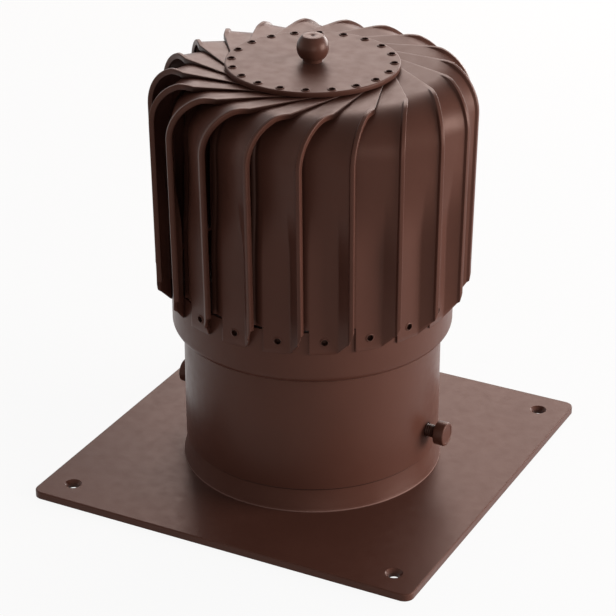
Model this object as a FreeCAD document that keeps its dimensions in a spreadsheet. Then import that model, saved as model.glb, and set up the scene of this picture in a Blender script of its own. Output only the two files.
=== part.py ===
import FreeCAD, Part
import math
import os

import Sketcher
from FreeCAD import Placement, Rotation, Vector

# Rotating chimney cowl. A square plate carries a short collar; the neck slides over the collar
# and two thumb screws hold it there. A bearing housing on two bridges across the neck guides the
# axle, and the axle carries the rotor: top disc, twenty bent blades and the drum ring.
# Millimetres, +Z up, origin at the centre of the plate's underside, plate edges along X and Y.

DIMENSIONS = (
    ("plate_side", 250, "side of the square base plate"),
    ("plate_thick", 4.5, "thickness of the base plate"),
    ("plate_corner", 6, "corner radius of the base plate"),
    ("plate_edge", 0.8, "rounding of the plate's upper rim"),
    ("fixing_inset", 18, "fixing hole centre to plate edge"),
    ("fixing_hole", 6.5, "diameter of a fixing hole"),
    ("fixing_sink", 10.4, "diameter of its countersink at the top"),
    ("flue_bore", 150, "inner diameter of the collar"),
    ("collar_wall", 1, "sheet of the collar"),
    ("collar_height", 58, "collar above the plate"),
    ("foot_width", 3.1, "how far the collar's foot flares out"),
    ("foot_height", 24.0, "height of the flare"),
    ("foot_edge", 0.8, "upright edge at the flare's foot"),
    ("slide_gap", 0.5, "collar to neck, all round"),
    ("sleeve_wall", 1, "sheet of the neck"),
    ("sleeve_top", 116, "top of the neck above the plate's underside"),
    ("bridge_clear", 2, "collar's top to the lower bridge"),
    ("bridge_rim", 10, "height of a bridge's turned-down ends"),
    ("bridge_sheet", 2.5, "sheet of the bridges"),
    ("bridge_width", 22, "width of the arms of a bridge"),
    ("bridge_eye", 4, "width of the eye round the housing"),
    ("bridge_inset", 6, "upper bridge below the neck's top"),
    ("weld_gap", 0.05, "fit of a welded or pressed joint"),
    ("bearing_bore", 10, "bore of the two ball bearings"),
    ("bearing_outside", 26, "outside diameter of the bearings"),
    ("bearing_width", 8, "width of the bearings"),
    ("race_wall", 2.4, "wall of each bearing race"),
    ("ball_dia", 4.6, "diameter of a bearing ball"),
    ("ball_play", 0.3, "ball to groove"),
    ("ball_count", 7, "balls in one bearing"),
    ("housing_wall", 3, "wall round a bearing"),
    ("housing_web", 5, "inner shoulder that stops a bearing"),
    ("housing_inset", 4, "housing below the neck's top"),
    ("housing_rise", 3.5, "housing above the collar's top"),
    ("axle_shoulder", 14, "diameter of the axle above the bearings"),
    ("axle_tail", 6, "axle below the lower bearing"),
    ("clip_thick", 1.2, "thickness of the snap ring"),
    ("clip_width", 3, "radial width of the snap ring"),
    ("clip_depth", 0.7, "depth of its groove"),
    ("ring_gap", 0.7, "neck to the drum ring's lip"),
    ("ring_step", 6, "lip of the drum ring to its outside"),
    ("ring_wall", 1, "sheet of the drum ring"),
    ("ring_bottom", 92.5, "underside of the drum ring"),
    ("ring_height", 33.5, "height of the drum ring"),
    ("ring_turn", 5.3, "radius of its rounded lower shoulder"),
    ("disc_level", 255, "underside of the top disc"),
    ("disc_radius", 50.5, "radius of the top disc"),
    ("disc_thick", 3, "thickness of the top disc"),
    ("disc_edge", 0.5, "rounding of the disc's rim"),
    ("hub_thick", 2, "thickness of the hub plate under the blades"),
    ("spacer_radius", 14, "radius of the spacer between the discs"),
    ("rivet_inset", 3.7, "disc's rim to its circle of rivets"),
    ("rivet_shank", 4.4, "diameter of a rivet's shank"),
    ("rivet_play", 0.05, "shank to hole"),
    ("rivet_head", 5.6, "diameter of a rivet's head"),
    ("rivet_head_thick", 0.5, "height of a rivet's head"),
    ("rivet_hollow", 3.6, "diameter of the hollow in a rivet"),
    ("rivet_hollow_deep", 2.6, "depth of that hollow"),
    ("rivet_tail_thick", 1.2, "height of a rivet's closed end"),
    ("knob_radius", 9.3, "radius of the ball knob"),
    ("knob_centre", 8.2, "ball's centre above the disc"),
    ("knob_facet", 7.15, "flat on the ball above its centre"),
    ("knob_neck", 5.65, "radius of the knob's neck"),
    ("knob_neck_height", 2.6, "height of the knob's neck"),
    ("knob_thread", 9.5, "depth of the knob's blind bore"),
    ("knob_mark", 1.3, "radius of the centre mark in the flat"),
    ("knob_mark_deep", 0.8, "depth of that mark"),
    ("screw_level", 36, "height of the thumb screws"),
    ("screw_dia", 8, "thread of a thumb screw"),
    ("screw_play", 0.05, "thread to nut, and stud to head"),
    ("screw_hole", 9, "clearance hole in neck and collar"),
    ("head_dia", 14.5, "diameter of a thumb screw's head"),
    ("head_length", 6.6, "length of the head"),
    ("head_edge", 0.8, "chamfer of the head"),
    ("head_stand", 6.6, "neck to the head"),
    ("head_socket", 5.6, "depth of the stud's seat in the head"),
    ("nut_dia", 13, "outside diameter of the weld nut"),
    ("nut_length", 5.5, "length of the weld nut"),
    ("stud_reach", 5, "stud beyond the nut"),
    ("blade_count", 20, "blades, disc rivets and ring rivets"),
    ("blade_phase", 13.8, "direction of the first blade's ring rivet from +X, degrees"),
    ("blade_skew", 13.4, "turn of a blade's strip from the radial line, degrees"),
    ("blade_sheet", 0.8, "sheet of the blades"),
    ("blade_tuck", 1.3, "face of a blade inside the ring's outside"),
    ("blade_face", 22.1, "face beyond the start of the shoulder"),
    ("blade_lean", 1.8, "how far the upright part leans out at its top"),
    ("blade_drop", 26.3, "height of the shoulder"),
    ("edge_inset", 6.8, "outer edge inside the disc's rim, on top"),
    ("edge_low", 36.8, "outer edge, upright part"),
    ("lip_width", 2.4, "width of the outer lip"),
    ("lip_stand", 4.2, "lip in front of the face's level"),
    ("lip_step", 1.6, "height of the step from the face to the lip"),
    ("lip_ramp", 0.7, "width of that step"),
    ("face_rake", 4.1, "rise of the face from its left side to the step"),
    ("lip_return", 3.2, "depth of the lip's turned-in edge"),
    ("fold_low", 26.9, "fold across the face, at the tab"),
    ("tab_edge", 10.6, "other side of the face, upright part"),
    ("inner_edge", 4.3, "inner edge, upright part"),
    ("inner_curl", 0.6, "curl of the inner edge"),
    ("inner_dip", 0.8, "dip beside that curl"),
    ("lap_width", 8, "overlap of neighbouring blades at the disc"),
    ("lap_slope", 0.105, "tilt of a blade's top, height over width"),
    ("blade_margin", 4.3, "disc rivet to the inner end of the strip"),
    ("blade_reach", 7.5, "how far the blades reach in under the disc"),
    ("tab_bottom", 112.5, "lower end of a blade's tab"),
    ("inner_bottom", 128, "lower end of a blade's inner edge"),
    ("lip_bottom", 132.5, "lower end of a blade's lip"),
    ("foot_bow", 2.3, "bow of the cut from the tab's end to the lip's"),
    ("twist_top", 212, "height from which the face's left side turns flat to the ring"),
    ("twist_end", 165, "height at which it lies flat to the ring"),
    ("ring_rivet_level", 120.2, "height of the ring's rivets"),
)


class Size:
    """A size with its value and the sheet expression that it comes from."""

    def __init__(self, text, value):
        self.text = text
        self.value = float(value)

    def __add__(self, other):
        other = as_size(other)
        return Size(f"({self.text} + {other.text})", self.value + other.value)

    def __sub__(self, other):
        other = as_size(other)
        return Size(f"({self.text} - {other.text})", self.value - other.value)

    def __mul__(self, other):
        other = as_size(other)
        return Size(f"({self.text} * {other.text})", self.value * other.value)

    def __truediv__(self, other):
        other = as_size(other)
        return Size(f"({self.text} / {other.text})", self.value / other.value)

    def __neg__(self):
        return Size(f"(0 - {self.text})", -self.value)


def as_size(number):
    return number if isinstance(number, Size) else Size(repr(float(number)), number)


def root(size):
    return Size(f"sqrt({size.text})", math.sqrt(size.value))


ZERO = as_size(0)


class Dimensions:
    """The driving dimensions, kept in the document's spreadsheet."""

    def __init__(self, document):
        self.sheet = document.addObject("Spreadsheet::Sheet", "Dims")
        for row, (name, value, note) in enumerate(DIMENSIONS, start=1):
            self.sheet.set(f"A{row}", name)
            self.sheet.set(f"B{row}", str(value))
            self.sheet.setAlias(f"B{row}", name)
            self.sheet.set(f"C{row}", note)
        document.recompute()

    def __getattr__(self, name):
        return Size(f"Dims.{name}", self.sheet.get(name))


doc = FreeCAD.newDocument("chimney_cowl")
dim = Dimensions(doc)
pieces = []

# Heights and radii that follow from the driving dimensions.
bore_radius = dim.flue_bore / 2
collar_radius = bore_radius + dim.collar_wall
collar_top = dim.plate_thick + dim.collar_height
flare_height = dim.foot_height - dim.foot_edge
flare_radius = (flare_height * flare_height + dim.foot_width * dim.foot_width) / (dim.foot_width * 2)
flare_top = dim.plate_thick + dim.foot_height
sleeve_bore = collar_radius + dim.slide_gap
sleeve_radius = sleeve_bore + dim.sleeve_wall
sleeve_bottom = flare_top - root((flare_radius * 2 - dim.slide_gap) * dim.slide_gap) + dim.weld_gap
housing_radius = dim.bearing_outside / 2 + dim.housing_wall
housing_bottom = collar_top + dim.housing_rise
housing_top = dim.sleeve_top - dim.housing_inset
lower_bridge_top = collar_top + dim.bridge_clear + dim.bridge_rim
upper_bridge_top = dim.sleeve_top - dim.bridge_inset
axle_radius = dim.bearing_bore / 2
ring_lip = sleeve_radius + dim.ring_gap
ring_radius = ring_lip + dim.ring_step
disc_top = dim.disc_level + dim.disc_thick
rivet_circle = dim.disc_radius - dim.rivet_inset
edge_top = dim.disc_radius - dim.edge_inset
rivet_across = edge_top - dim.lap_width / 2
rivet_along = root(rivet_circle * rivet_circle - rivet_across * rivet_across)
blade_bend = ring_radius - dim.blade_tuck - dim.blade_face


def circle_steps(count):
    """Directions, in degrees, of evenly spaced copies round the axis."""
    return [360.0 * index / count for index in range(count)]


def finish_piece(item, label):
    item.Label = label
    pieces.append(item)
    return item


def origin_plane(body, role):
    return next(item for item in body.Origin.OriginFeatures if item.Role == role)


def new_body(label):
    return finish_piece(doc.addObject("PartDesign::Body", label + "_body"), label)


def outline_sketch(body, name, plane, corners, arcs=()):
    """A closed outline of corners in pairs of sizes. Arcs maps a side's number to its radius and to -1
    where the arc's centre lies left of the direction of travel, 1 where it lies right."""
    sketch = body.newObject("Sketcher::SketchObject", name)
    sketch.AttachmentSupport = [(origin_plane(body, plane), "")]
    sketch.MapMode = "FlatFace"
    arcs = dict(arcs)
    points = [Vector(across.value, up.value, 0) for across, up in corners]
    count = len(points)
    starts = []
    ends = []
    for side in range(count):
        first = points[side]
        last = points[(side + 1) % count]
        if side in arcs:
            radius, bulge = arcs[side]
            middle = (first + last) / 2
            half = (last - first) / 2
            reach = math.sqrt(max(radius.value ** 2 - half.Length ** 2, 0))
            centre = middle - Vector(-half.y, half.x, 0).normalize() * reach * bulge
            begin, end = (first, last) if bulge < 0 else (last, first)
            begin_angle = math.atan2(begin.y - centre.y, begin.x - centre.x)
            end_angle = math.atan2(end.y - centre.y, end.x - centre.x)
            ring = Part.Circle(centre, Vector(0, 0, 1), radius.value)
            sketch.addGeometry(Part.ArcOfCircle(ring, begin_angle, end_angle), False)
            starts.append(1 if bulge < 0 else 2)
            ends.append(2 if bulge < 0 else 1)
        else:
            sketch.addGeometry(Part.LineSegment(first, last), False)
            starts.append(1)
            ends.append(2)
    for side in range(count):
        follower = (side + 1) % count
        sketch.addConstraint(Sketcher.Constraint("Coincident", side, ends[side], follower, starts[follower]))
    for side, (across, up) in enumerate(corners):
        for kind, size in (("DistanceX", across), ("DistanceY", up)):
            rule = sketch.addConstraint(Sketcher.Constraint(kind, -1, 1, side, starts[side], size.value))
            sketch.setExpression(f"Constraints[{rule}]", size.text)
    for side, (radius, _) in arcs.items():
        rule = sketch.addConstraint(Sketcher.Constraint("Radius", side, radius.value))
        sketch.setExpression(f"Constraints[{rule}]", radius.text)
    return sketch


def turn(body, name, corners, arcs=(), cut=False):
    """Turns an outline of radius and height pairs about the body's Z axis."""
    sketch = outline_sketch(body, name + "_outline", "XZ_Plane", corners, arcs)
    feature = body.newObject("PartDesign::Groove" if cut else "PartDesign::Revolution", name)
    feature.Profile = sketch
    feature.ReferenceAxis = (sketch, ["V_Axis"])
    feature.Angle = 360
    return feature


def turned_piece(label, corners, arcs=()):
    body = new_body(label)
    turn(body, label + "_turned", corners, arcs)
    return body


def tube_corners(inner, outer, low, high):
    return [(inner, low), (outer, low), (outer, high), (inner, high)]


def place_body(body, along, up, rotation):
    """Stands a turned body at a distance along X and a height, turned by the rotation."""
    body.Placement = Placement(Vector(along.value, 0, up.value), rotation)
    body.setExpression("Placement.Base.x", along.text)
    body.setExpression("Placement.Base.z", up.text)


def round_sketch(body, name, plane, across, up, radius):
    """A circle at a distance across and up from the body's origin."""
    sketch = body.newObject("Sketcher::SketchObject", name)
    sketch.AttachmentSupport = [(origin_plane(body, plane), "")]
    sketch.MapMode = "FlatFace"
    sketch.addGeometry(Part.Circle(Vector(across.value, up.value, 0), Vector(0, 0, 1), radius.value), False)
    for kind, size in (("DistanceX", across), ("DistanceY", up)):
        rule = sketch.addConstraint(Sketcher.Constraint(kind, -1, 1, 0, 3, size.value))
        sketch.setExpression(f"Constraints[{rule}]", size.text)
    rule = sketch.addConstraint(Sketcher.Constraint("Radius", 0, radius.value))
    sketch.setExpression(f"Constraints[{rule}]", radius.text)
    return sketch


def through_pocket(body, name, sketch):
    """Cuts a sketch right through the body, both ways from its plane."""
    pocket = body.newObject("PartDesign::Pocket", name)
    pocket.Profile = sketch
    pocket.Type = 1
    pocket.Midplane = True
    return pocket


def cross_hole(body, name, level, radius):
    """Drills a round hole right through the body along X."""
    through_pocket(body, name, round_sketch(body, name + "_outline", "YZ_Plane", ZERO, level, radius))


def base_plate():
    body = new_body("base_plate")
    half = dim.plate_side / 2
    square = [(-half, -half), (half, -half), (half, half), (-half, half)]
    pad = body.newObject("PartDesign::Pad", "plate_pad")
    pad.Profile = outline_sketch(body, "plate_outline", "XY_Plane", square)
    pad.setExpression("Length", dim.plate_thick.text)
    doc.recompute()
    upright = [f"Edge{index}" for index, edge in enumerate(pad.Shape.Edges, start=1)
               if abs(edge.tangentAt(edge.FirstParameter).z) > 0.99]
    corners = body.newObject("PartDesign::Fillet", "plate_corners")
    corners.Base = (pad, upright)
    corners.setExpression("Radius", dim.plate_corner.text)
    doc.recompute()
    top_face = max(range(len(corners.Shape.Faces)), key=lambda index: corners.Shape.Faces[index].CenterOfMass.z)
    rim = body.newObject("PartDesign::Fillet", "plate_rim")
    rim.Base = (corners, [f"Face{top_face + 1}"])
    rim.setExpression("Radius", dim.plate_edge.text)
    turn(body, "plate_bore", tube_corners(ZERO, bore_radius, ZERO, dim.plate_thick), cut=True)
    fixing_holes(body)


def fixing_holes(body):
    """One countersunk hole, cut by turning its outline, and three copies of it round the plate."""
    radius = dim.fixing_hole / 2
    sink = dim.fixing_sink / 2
    depth = sink - radius
    centre = dim.plate_side / 2 - dim.fixing_inset
    corners = [(centre, ZERO), (centre + radius, ZERO), (centre + radius, dim.plate_thick - depth),
               (centre + sink, dim.plate_thick), (centre, dim.plate_thick)]
    sketch = outline_sketch(body, "fixing_outline", "XZ_Plane", corners)
    sketch.AttachmentOffset = Placement(Vector(0, 0, -centre.value), Rotation())
    sketch.setExpression("AttachmentOffset.Base.z", (-centre).text)
    hole = body.newObject("PartDesign::Groove", "fixing_hole_cut")
    hole.Profile = sketch
    hole.ReferenceAxis = (sketch, ["Edge5"])
    hole.Angle = 360
    doc.recompute()
    pattern = body.newObject("PartDesign::PolarPattern", "fixing_pattern")
    pattern.Originals = [hole]
    pattern.Axis = (origin_plane(body, "Z_Axis"), [""])
    pattern.Angle = 360
    pattern.Occurrences = 4
    body.Tip = pattern


def base_collar():
    body = turned_piece(
        "base_collar",
        [(bore_radius, dim.plate_thick), (collar_radius + dim.foot_width, dim.plate_thick),
         (collar_radius + dim.foot_width, dim.plate_thick + dim.foot_edge),
         (collar_radius, flare_top), (collar_radius, collar_top), (bore_radius, collar_top)],
        {2: (flare_radius, 1)})
    cross_hole(body, "collar_screw_holes", dim.screw_level, dim.screw_hole / 2)


def neck_sleeve():
    body = turned_piece("neck_sleeve", tube_corners(sleeve_bore, sleeve_radius, sleeve_bottom, dim.sleeve_top))
    cross_hole(body, "sleeve_screw_holes", dim.screw_level, dim.screw_hole / 2)


def bridge(label, top):
    """A bar across the neck: an eye on the housing, two arms and turned-down ends."""
    body = new_body(label)
    eye = housing_radius + dim.weld_gap
    reach = sleeve_bore - dim.weld_gap
    turn(body, label + "_pan", [
        (eye, top - dim.bridge_sheet), (reach - dim.bridge_sheet, top - dim.bridge_sheet),
        (reach - dim.bridge_sheet, top - dim.bridge_rim), (reach, top - dim.bridge_rim),
        (reach, top), (eye, top)])
    half = dim.bridge_width / 2
    eye_half = eye + dim.bridge_eye
    far = sleeve_radius
    for name, side in (("front", -1), ("back", 1)):
        corners = [(-far, half * side), (-eye_half, half * side), (-half, eye_half * side),
                   (half, eye_half * side), (eye_half, half * side), (far, half * side),
                   (far, far * side), (-far, far * side)]
        outline = outline_sketch(body, f"{label}_{name}_outline", "XY_Plane", corners)
        through_pocket(body, f"{label}_{name}_cut", outline)


def bearing_housing():
    seat = dim.bearing_outside / 2 + dim.weld_gap
    throat = seat - dim.housing_web
    lower_stop = housing_bottom + dim.bearing_width
    upper_stop = housing_top - dim.bearing_width
    turned_piece("bearing_housing", [
        (seat, housing_bottom), (housing_radius, housing_bottom), (housing_radius, housing_top),
        (seat, housing_top), (seat, upper_stop), (throat, upper_stop), (throat, lower_stop),
        (seat, lower_stop)])


def grooved_race(label, inner, outer, low, pitch, groove):
    """A bearing race between two radii, with the balls' groove turned into it."""
    body = turned_piece(label, tube_corners(inner, outer, low, low + dim.bearing_width))
    centre = low + dim.bearing_width / 2
    sketch = round_sketch(body, label + "_groove_outline", "XZ_Plane", pitch, centre, groove)
    cut = body.newObject("PartDesign::Groove", label + "_groove")
    cut.Profile = sketch
    cut.ReferenceAxis = (sketch, ["V_Axis"])
    cut.Angle = 360


def ball_bearing(label, low):
    inside = axle_radius + dim.weld_gap
    outside = dim.bearing_outside / 2
    pitch = (inside + outside) / 2
    groove = dim.ball_dia / 2 + dim.ball_play
    grooved_race(label + "_outer_race", outside - dim.race_wall, outside, low, pitch, groove)
    grooved_race(label + "_inner_race", inside, inside + dim.race_wall, low, pitch, groove)
    balls = doc.addObject("Part::Feature", label + "_balls")
    height = low.value + dim.bearing_width.value / 2
    solids = []
    for turn_angle in circle_steps(round(dim.ball_count.value)):
        direction = Rotation(Vector(0, 0, 1), turn_angle).multVec(Vector(pitch.value, 0, 0))
        solids.append(Part.makeSphere(dim.ball_dia.value / 2, direction + Vector(0, 0, height)))
    balls.Shape = Part.makeCompound(solids)
    finish_piece(balls, label + "_balls")


def axle():
    """The axle turns in the bearings; its shoulder rests on the upper one and carries the rotor."""
    shoulder = dim.axle_shoulder / 2
    hub_bottom = hub_top() - dim.hub_thick
    groove_top = housing_bottom
    groove_low = groove_top - dim.clip_thick
    turned_piece("axle", [
        (ZERO, housing_bottom - dim.axle_tail), (axle_radius, housing_bottom - dim.axle_tail),
        (axle_radius, groove_low), (axle_radius - dim.clip_depth, groove_low),
        (axle_radius - dim.clip_depth, groove_top), (axle_radius, groove_top),
        (axle_radius, housing_top), (shoulder, housing_top), (shoulder, hub_bottom),
        (axle_radius, hub_bottom), (axle_radius, disc_top + dim.knob_thread - 0.5),
        (ZERO, disc_top + dim.knob_thread - 0.5)])


def snap_ring():
    inner = axle_radius - dim.clip_depth + dim.weld_gap
    low = housing_bottom - dim.clip_thick
    body = turned_piece("axle_snap_ring", tube_corners(inner, inner + dim.clip_width, low, housing_bottom))
    half = dim.clip_width / 2
    corners = [(ZERO, -half), (dim.bearing_outside, -half), (dim.bearing_outside, half), (ZERO, half)]
    through_pocket(body, "snap_ring_slot", outline_sketch(body, "snap_ring_outline", "XY_Plane", corners))


def lap_line(along):
    """Where the left edge of a blade's top lies, at a distance along the strip."""
    step = math.radians(360.0 / dim.blade_count.value)
    covered = edge_top.value - dim.lap_width.value
    return (covered - along * math.sin(step)) / math.cos(step)


def hub_top():
    """Underside of the lowest corner of the lapped blades, where the hub plate bears."""
    step = math.radians(360.0 / dim.blade_count.value)
    covered = edge_top.value - dim.lap_width.value
    along = math.sqrt(dim.disc_radius.value ** 2 - covered ** 2)
    lowest = covered * math.cos(step) - along * math.sin(step)
    fall = (edge_top.value - lowest) * dim.lap_slope.value + dim.blade_sheet.value
    return dim.disc_level - fall


def rotor_discs():
    hole = axle_radius + dim.rivet_play
    disc = turned_piece("top_disc", tube_corners(hole, dim.disc_radius, dim.disc_level, disc_top))
    doc.recompute()
    base = disc.Tip
    rim = [f"Edge{index}" for index, edge in enumerate(base.Shape.Edges, start=1)
           if edge.Curve.TypeId == "Part::GeomCircle" and edge.Curve.Radius > hole.value + 1
           and edge.CenterOfMass.z > dim.disc_level.value + 0.1]
    rounding = disc.newObject("PartDesign::Fillet", "disc_rim")
    rounding.Base = (base, rim)
    rounding.setExpression("Radius", dim.disc_edge.text)
    rivet_holes(disc, "disc_rivet_holes")
    hub = turned_piece("hub_plate", tube_corners(hole, dim.disc_radius, hub_top() - dim.hub_thick, hub_top()))
    rivet_holes(hub, "hub_rivet_holes")
    turned_piece("hub_spacer", tube_corners(hole, dim.spacer_radius, hub_top(), dim.disc_level))


def disc_rivet_turn():
    """Direction of the first disc rivet: through the overlap of the first blade and the next."""
    turned = math.degrees(math.atan2(rivet_across.value, rivet_along.value))
    return dim.blade_phase.value - dim.blade_skew.value + turned


def rivet_holes(body, name):
    """One hole on the rivet circle, repeated once for each blade."""
    angle = math.radians(disc_rivet_turn())
    across = rivet_circle * math.cos(angle)
    up = rivet_circle * math.sin(angle)
    radius = dim.rivet_shank / 2 + dim.rivet_play
    hole = through_pocket(body, name + "_cut", round_sketch(body, name + "_outline", "XY_Plane", across, up, radius))
    repeat_round(body, name, hole)


def repeat_round(body, name, feature):
    """Repeats a cut once for each blade, round the body's Z axis."""
    doc.recompute()
    pattern = body.newObject("PartDesign::PolarPattern", name)
    pattern.Originals = [feature]
    pattern.Axis = (origin_plane(body, "Z_Axis"), [""])
    pattern.Angle = 360
    pattern.setExpression("Occurrences", dim.blade_count.text)
    body.Tip = pattern


def drum_ring():
    inner = ring_radius - dim.ring_wall
    top = dim.ring_bottom + dim.ring_height
    bend = dim.ring_bottom + dim.ring_turn
    flat = ring_radius - dim.ring_turn
    body = turned_piece(
        "drum_ring",
        [(ring_lip, dim.ring_bottom), (flat, dim.ring_bottom), (ring_radius, bend),
         (ring_radius, top), (inner, top), (inner, bend),
         (flat, dim.ring_bottom + dim.ring_wall), (ring_lip, dim.ring_bottom + dim.ring_wall)],
        {1: (dim.ring_turn, -1), 5: (dim.ring_turn - dim.ring_wall, 1)})
    radius = dim.rivet_shank / 2 + dim.rivet_play
    sketch = round_sketch(body, "ring_rivet_outline", "YZ_Plane", ZERO, dim.ring_rivet_level, radius)
    sketch.AttachmentOffset = Placement(Vector(), Rotation(Vector(0, 1, 0), dim.blade_phase.value))
    sketch.setExpression("AttachmentOffset.Rotation.Angle", dim.blade_phase.text)
    hole = body.newObject("PartDesign::Pocket", "ring_rivet_cut")
    hole.Profile = sketch
    hole.Type = 1
    hole.Reversed = True
    repeat_round(body, "ring_rivet_holes", hole)


def ring_rivet_turns():
    return [dim.blade_phase.value + step for step in circle_steps(round(dim.blade_count.value))]


def placed(shape, turn_angle, height=0.0):
    """A copy of a shape, turned about the axis and lifted."""
    copy = shape.copy()
    copy.Placement = Placement(Vector(0, 0, height), Rotation(Vector(0, 0, 1), turn_angle))
    return copy


def ball_knob():
    """A turned ball with a flat on top, standing on a short neck, bored for the axle's end."""
    bore = axle_radius + dim.screw_play
    centre = disc_top + dim.knob_centre
    facet = centre + dim.knob_facet
    facet_radius = root(dim.knob_radius * dim.knob_radius - dim.knob_facet * dim.knob_facet)
    neck_top = disc_top + dim.knob_neck_height
    below = centre - neck_top
    meet = root(dim.knob_radius * dim.knob_radius - below * below)
    turned_piece(
        "ball_knob",
        [(bore, disc_top), (dim.knob_neck, disc_top), (dim.knob_neck, neck_top), (meet, neck_top),
         (dim.knob_radius, centre), (facet_radius, facet), (dim.knob_mark, facet),
         (ZERO, facet - dim.knob_mark_deep), (ZERO, disc_top + dim.knob_thread),
         (bore, disc_top + dim.knob_thread)],
        {3: (dim.knob_radius, -1), 4: (dim.knob_radius, -1)})


def thumb_screw(side, rotation, sign):
    """Stud, head and weld nut of one thumb screw; each is turned along its own axis."""
    wall = root(bore_radius * bore_radius - dim.nut_dia * dim.nut_dia / 4)
    nut_start = wall - dim.nut_length
    head_start = sleeve_radius + dim.head_stand
    stud_start = nut_start - dim.stud_reach
    stud_end = head_start + dim.head_socket - 0.3
    thread = dim.screw_dia / 2
    bore = thread + dim.screw_play
    edge = dim.head_edge
    head = dim.head_dia / 2
    nut = turned_piece(f"{side}_weld_nut", tube_corners(bore, dim.nut_dia / 2, ZERO, dim.nut_length))
    stud = turned_piece(f"{side}_screw_stud", [
        (ZERO, ZERO), (thread - edge, ZERO), (thread, edge), (thread, stud_end - stud_start),
        (ZERO, stud_end - stud_start)])
    knob = turned_piece(f"{side}_screw_head", [
        (bore, ZERO), (head - edge, ZERO), (head, edge), (head, dim.head_length - edge),
        (head - edge, dim.head_length), (ZERO, dim.head_length), (ZERO, dim.head_socket),
        (bore, dim.head_socket)])
    for body, start in ((nut, nut_start), (stud, stud_start), (knob, head_start)):
        place_body(body, start if sign > 0 else -start, dim.screw_level, rotation)


def rivet_solid(grip):
    """A hollow-headed rivet standing on z = 0, with its shank and closed end below."""
    shank = dim.rivet_shank.value / 2
    head = dim.rivet_head.value / 2
    hollow = dim.rivet_hollow.value / 2
    deep = dim.rivet_hollow_deep.value
    thick = dim.rivet_head_thick.value
    tail = dim.rivet_tail_thick.value
    outline = [(0, thick - deep), (hollow, thick - deep), (hollow, thick), (head - thick, thick), (head, 0),
               (shank, 0), (shank, -grip), (head - thick, -grip), (head - thick, -grip - tail),
               (0, -grip - tail)]
    points = [Vector(radius, 0, height) for radius, height in outline]
    face = Part.Face(Part.makePolygon(points + points[:1]))
    return face.revolve(Vector(), Vector(0, 0, 1), 360)


def rivet_group(label, rivet, turns, height):
    group = doc.addObject("Part::Feature", label)
    group.Shape = Part.makeCompound([placed(rivet, turn_angle, height) for turn_angle in turns])
    finish_piece(group, label)


def rivets():
    steps = circle_steps(round(dim.blade_count.value))
    upright = rivet_solid(disc_top.value - (hub_top() - dim.hub_thick).value)
    upright.translate(Vector(rivet_circle.value, 0, disc_top.value))
    rivet_group("disc_rivets", Part.makeCompound([upright]), [disc_rivet_turn() + step for step in steps], 0.0)
    outside = ring_radius.value + dim.blade_sheet.value
    wall = ring_radius.value - dim.ring_wall.value
    tail = dim.rivet_head.value / 2 - dim.rivet_head_thick.value
    lying = rivet_solid(outside - math.sqrt(wall ** 2 - tail ** 2))
    lying.rotate(Vector(), Vector(0, 1, 0), 90)
    lying.translate(Vector(outside, 0, 0))
    rivet_group("ring_rivets", Part.makeCompound([lying]), ring_rivet_turns(), dim.ring_rivet_level.value)


def lower_side(points, depth):
    """The outline's other side, one sheet thickness to the right of its direction of travel."""
    normals = []
    for (across, up), (next_across, next_up) in zip(points, points[1:]):
        length = math.hypot(next_across - across, next_up - up)
        normals.append(((next_up - up) / length, (across - next_across) / length))
    result = []
    for index, (across, up) in enumerate(points):
        before = normals[max(index - 1, 0)]
        after = normals[min(index, len(normals) - 1)]
        share = depth / (1 + before[0] * after[0] + before[1] * after[1])
        result.append((across + (before[0] + after[0]) * share, up + (before[1] + after[1]) * share))
    return result


def mix(first, second, share):
    return first + (second - first) * share


def top_outline(along, lip_return):
    """Upper side of the sheet across a blade's flat top, as distance across and height."""
    left = lap_line(along)
    edge = edge_top.value
    drop = dim.blade_drop.value
    lip = edge - dim.lip_width.value
    points = [mix(left, edge, share) for share in (0.0, 0.1, 0.25, 0.6)]
    points += [lip - dim.lip_ramp.value, lip, edge]
    outline = [(across, drop - (edge - across) * dim.lap_slope.value) for across in points]
    return outline + [(edge, drop - lip_return)]


def upright_outline(lean, flatness):
    """Outer side of the sheet across the upright part; flatness 1 lays the left side on the ring."""
    skew = math.radians(dim.blade_skew.value)
    lip = dim.blade_face.value + lean + dim.lip_stand.value
    face_right = lip - dim.lip_step.value
    face_left = face_right - dim.face_rake.value
    tab_left = dim.tab_edge.value
    lip_start = dim.edge_low.value - dim.lip_width.value
    face_end = lip_start - dim.lip_ramp.value
    fold = dim.fold_low.value
    tangent = ring_radius.value + dim.blade_sheet.value

    def level(across):
        on_face = mix(face_left, face_right, (across - tab_left) / (face_end - tab_left))
        on_ring = (tangent - across * math.sin(skew)) / math.cos(skew) - blade_bend.value
        return mix(on_face, on_ring, flatness)

    left_up = level(tab_left)
    return [
        (dim.inner_edge.value, left_up + dim.inner_curl.value),
        (mix(dim.inner_edge.value, tab_left, 0.35), left_up - dim.inner_dip.value),
        (tab_left, left_up),
        (fold, level(fold)),
        (face_end, face_right),
        (lip_start, lip),
        (dim.edge_low.value, lip),
        (dim.edge_low.value, lip - dim.lip_return.value)]


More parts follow.
